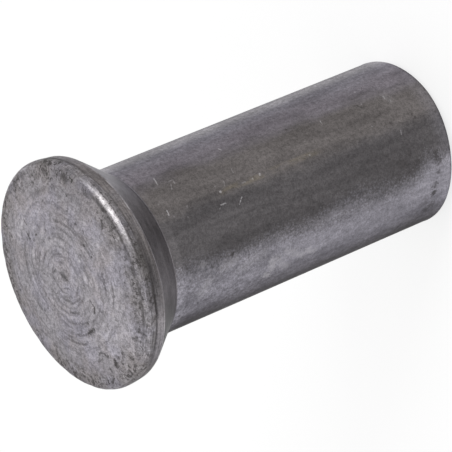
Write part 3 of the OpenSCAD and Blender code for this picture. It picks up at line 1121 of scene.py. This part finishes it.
def make_shank_steel(colours, at):
    """Shank: a dark drawn film, worn light in lengthwise fields with a painted reflection, painted light,
    shade and highlights, nicks, a tan streak and smears.
    """
    material, place = start_steel("drawn shank steel")
    point, height, side = place["Point"], place["Height"], place["Side"]
    grain = add_grain(point, 14.0)
    streaks = vary(stretch(point, (1, 1, 0.10)), 2.4, detail=4.0, roughness=0.6)
    cloudy = vary(stretch(point, (1, 1, 0.4)), 0.8, detail=4.0, roughness=0.6)
    clumps = vary(stretch(point, (1, 1, 0.6)), 1.5, detail=5.0, roughness=0.72)
    pits = add_pits(point, 2.2, 0.14, 0.08)
    specks = add_pits(point, 5.0, 0.14, 0.13)
    worn = use_group("film wear and painted reflection", Point=point, Side=side, Height=height)
    ragged = fray(point)
    nicks = draw_strokes(point, ragged, shank_marks(SHANK_NICKS + SHANK_PECKS, at.shank))
    spots = draw_strokes(point, ragged, shank_marks(SHANK_SPOTS, at.shank))
    smears = draw_strokes(point, ragged, shank_marks(SHANK_SMEARS, at.shank))

    loose_side = side + swing(cloudy, 13.0)
    violet = fade(loose_side, *SHANK_SIDES.violet) * fade(side, *SHANK_SIDES.unseen, 1.0, 0.0)
    # The grip band gets painted light, and on its low side a painted highlight.
    grip = fade(height, at.grip_foot_z - 0.12, at.grip_foot_z + 0.08)
    # Painted light near the cut end and along the top next to it.
    near_end = fade(height, *SHANK_HEIGHTS.near_end, 1.0, 0.0)
    lit_top_end = between(side, *SHANK_SIDES.lit_top_end) * fade(height, *SHANK_HEIGHTS.lit_top_end, 1.0, 0.0)
    colour = mix_colour(between(loose_side, *SHANK_SIDES.olive), colours.film, colours.film_olive)
    colour = mix_colour(violet, colour, colours.film_violet)
    # The worn fields hold wear and a painted reflection; painted light is added near the cut end and at the
    # top next to it.
    light = strongest(worn["Front"], worn["Back"], near_end * 0.25, lit_top_end * 0.7)
    colour = mix_colour(light, colour, colours.worn)
    # Painted highlight along the top of the shank.
    colour = mix_colour(between(side, *SHANK_SIDES.top_highlight) * 0.55, colour, colours.bright)

    # Painted shade on the worn field under the grip band.
    shade_under_grip = worn["Front"] * between(
        height, *SHANK_HEIGHTS.shade_under_grip, at.grip_foot_z - 0.14, at.grip_foot_z)
    coarse = worn["Front"] * fade(height, *SHANK_HEIGHTS.coarse)
    # Painted light on the grip band and near the cut end, a painted highlight on the grip band's low side,
    # and painted shade by the top edge and under the grip band.
    colour = shade_colour(
        colour, within(grip * light, 1.15), within(near_end * light, 1.25),
        within(between(side, *SHANK_SIDES.grip) * grip, 1.35),
        within(between(side, *SHANK_SIDES.top_edge_shade), 0.78), within(shade_under_grip, 0.86),
        within(worn["Front"], spread(clumps, 0.18)), within(coarse, spread(grain, 0.16)))
    tan = fade(calculate("ABSOLUTE", side - TAN_SIDE), 0.6, 3.2, 1.0, 0.0)
    tan = tan * between(height, *SHANK_HEIGHTS.tan)
    tan = tan * fade(vary(stretch(point, (1, 1, 0.4)), 3.0), 0.38, 0.6)
    colour = mix_colour(tan * 0.5, colour, colours.tan)
    colour = shade_colour(colour, spread(grain, 0.32), spread(streaks, 0.10), spread(cloudy, 0.14))
    colour = mix_colour(smears * 0.3, colour, colours.bright)
    dirt = strongest(pits * 0.5, specks * 0.28, spots * 0.88)
    colour = mix_colour(dirt, colour, colours.grime)
    colour = mix_colour(nicks * 0.45, colour, colours.bright)
    roughness = fade(grain, 0.3, 0.7, 0.36, 0.48) + light * 0.06
    relief = grain - strongest(pits, nicks) * 0.6
    finish_steel(colour, roughness, fade(dirt, 0.0, 1.0, 1.0, 0.6), relief, 0.010, edge_tint=0.35)
    return material


def make_end_steel(colours):
    """Cut end: faint lines across it from the shear."""
    material, place = start_steel("sheared end steel")
    point = place["Point"]
    grain = add_grain(point, 7.0)
    lines = vary(stretch(point, (3.0, 0.25, 1)), 3.0, detail=4.0, roughness=0.6)
    colour = mix_colour(fade(lines, 0.35, 0.65), colours.film, colours.worn)
    relief = calculate("MULTIPLY_ADD", lines, 1.5, grain)
    finish_steel(shade_colour(colour, spread(grain, 0.2)), 0.45, 1.0, relief, 0.015)
    return material


class RIVET_OT_make_rivet(bpy.types.Operator):
    """Make the rivet: its turned mesh with the marks of making and use, and its five steel finishes"""

    bl_idname = "rivet.make_rivet"
    bl_label = "Make rivet"

    def execute(self, context):
        scene = context.scene
        size, marks, colours = in_mm(scene.rivet_sizes), in_mm(scene.rivet_marks), scene.rivet_colours
        at = levels(size, marks)
        mesh = make_rivet_mesh(size, marks, at)
        for make_group in (
                make_place_group, make_grain_group, make_pit_group, make_stroke_group, make_arc_group,
                make_ring_group, make_wear_and_reflection_group):
            make_group()
        for steel in (
                make_face_steel(colours, at), make_edge_steel(colours, at), make_sink_steel(colours, at),
                make_shank_steel(colours, at), make_end_steel(colours)):
            mesh.materials.append(steel)
        piece = bpy.data.objects.new("rivet_worn", mesh)
        scene.collection.objects.link(piece)
        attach(piece, "root")
        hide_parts("rivet")
        return {"FINISHED"}


def direction(azimuth, elevation):
    """Unit vector to a side, in degrees as for the camera: 0 is -Y and 90 is +X."""
    across, up = math.radians(azimuth), math.radians(elevation)
    return Vector((math.sin(across) * math.cos(up), -math.cos(across) * math.cos(up), math.sin(up)))


def add_camera(settings):
    """The camera at the photograph's viewing angle."""
    data = bpy.data.cameras.new("camera")
    data.angle = settings.view_angle
    data.clip_start = 0.01
    data.clip_end = 10
    camera = bpy.data.objects.new("camera", data)
    bpy.context.scene.collection.objects.link(camera)
    back = direction(math.degrees(settings.azimuth), math.degrees(settings.elevation))
    camera.location = Vector(settings.aim) + back * settings.distance
    camera.rotation_mode = "QUATERNION"
    camera.rotation_quaternion = (
        (-back).to_track_quat("-Z", "Y") @ Quaternion((0, 0, 1), settings.roll))
    bpy.context.scene.camera = camera


def seen_directly(tree):
    """1 for what the camera sees, and what it sees in a reflection or through glass."""
    path = fields_of(add_node(tree, "ShaderNodeLightPath"))
    return strongest(path["Is Camera Ray"], path["Is Glossy Ray"], path["Is Transmission Ray"])


def make_floor_paint(settings):
    """Pale paint, part of it plain white for the camera and in reflections."""
    material, tree = start_material("floor paint")
    paint = add_node(tree, "ShaderNodeBsdfDiffuse", {"Color": opaque(settings.floor_colour)})
    white = add_node(tree, "ShaderNodeEmission", {"Color": (1, 1, 1, 1), "Strength": 1.0})
    share = seen_directly(tree) * settings.floor_glow
    mixed = add_node(tree, "ShaderNodeMixShader", {0: share, 1: paint.outputs[0], 2: white.outputs[0]})
    add_node(tree, "ShaderNodeOutputMaterial", {"Surface": mixed.outputs[0]})
    return material


def add_floor(settings):
    """A round, plain pale floor."""
    bm = bmesh.new()
    bmesh.ops.create_circle(bm, cap_ends=True, segments=96, radius=settings.floor_radius)
    mesh = bpy.data.meshes.new("floor")
    bm.to_mesh(mesh)
    bm.free()
    mesh.materials.append(make_floor_paint(settings))
    floor = bpy.data.objects.new("floor", mesh)
    bpy.context.scene.collection.objects.link(floor)


# Softboxes: name, azimuth and elevation in degrees, distance and size in metres, power in watts
SOFTBOXES = (
    ("back_softbox", -134.0, 60.0, 0.7, 0.35, 0.30),
    ("low_side_softbox", -50.0, 12.0, 0.7, 0.30, 0.50),
    ("far_side_softbox", -160.0, 12.0, 0.7, 0.30, 0.50),
    ("edge_softbox", 92.0, 35.0, 0.6, 0.20, 1.00),
)


def add_softboxes():
    """Soft square lamps round the rivet."""
    for name, azimuth, elevation, distance, size, power in SOFTBOXES:
        data = bpy.data.lights.new(name, "AREA")
        data.shape = "SQUARE"
        data.size = size
        data.energy = power
        lamp = bpy.data.objects.new(name, data)
        back = direction(azimuth, elevation)
        lamp.location = back * distance
        lamp.rotation_mode = "QUATERNION"
        lamp.rotation_quaternion = (-back).to_track_quat("-Z", "Y")
        lamp.visible_camera = False
        bpy.context.scene.collection.objects.link(lamp)


def add_world(settings):
    """White all round for the camera and in reflections, and an even soft light elsewhere."""
    world = bpy.data.worlds.new("studio")
    bpy.context.scene.world = world
    world.use_nodes = True
    tree = world.node_tree
    tree.nodes.clear()
    strength = mix_value(seen_directly(tree), settings.ambient, 1.0)
    background = add_node(tree, "ShaderNodeBackground", {"Color": (1, 1, 1, 1), "Strength": strength})
    add_node(tree, "ShaderNodeOutputWorld", {"Surface": background.outputs["Background"]})


class RIVET_OT_make_studio(bpy.types.Operator):
    """Make the studio: a plain pale floor, soft lamps and the camera"""

    bl_idname = "rivet.make_studio"
    bl_label = "Make studio"

    def execute(self, context):
        settings = context.scene.rivet_studio
        context.scene.view_settings.view_transform = "Standard"
        add_camera(settings)
        add_floor(settings)
        add_softboxes()
        add_world(settings)
        return {"FINISHED"}


class RIVET_PT_panel(bpy.types.Panel):
    """The rivet's sizes, marks and colours, and the studio's settings"""

    bl_idname = "RIVET_PT_panel"
    bl_label = "Countersunk rivet"
    bl_space_type = "VIEW_3D"
    bl_region_type = "UI"
    bl_category = "Rivet"

    def draw(self, context):
        for group in SETTINGS:
            settings = getattr(context.scene, group)
            box = self.layout.box()
            for name in settings.__annotations__:
                box.prop(settings, name)
        self.layout.operator(RIVET_OT_make_rivet.bl_idname)
        self.layout.operator(RIVET_OT_make_studio.bl_idname)


SETTINGS = {
    "rivet_sizes": RivetSizes,
    "rivet_marks": RivetMarks,
    "rivet_colours": SteelColours,
    "rivet_studio": StudioSettings,
}
CLASSES = (*SETTINGS.values(), RIVET_OT_make_rivet, RIVET_OT_make_studio, RIVET_PT_panel)


def register():
    """Registers the classes and hangs their settings on the scene."""
    for each in CLASSES:
        bpy.utils.register_class(each)
    for name, group in SETTINGS.items():
        setattr(bpy.types.Scene, name, PointerProperty(type=group))


def unregister():
    """Takes the settings and the classes away again."""
    for name in SETTINGS:
        delattr(bpy.types.Scene, name)
    for each in reversed(CLASSES):
        bpy.utils.unregister_class(each)


def main():
    """Makes the rivet and its studio."""
    register()
    bpy.ops.rivet.make_rivet()
    bpy.ops.rivet.make_studio()


if __name__ == "__main__":
    main()
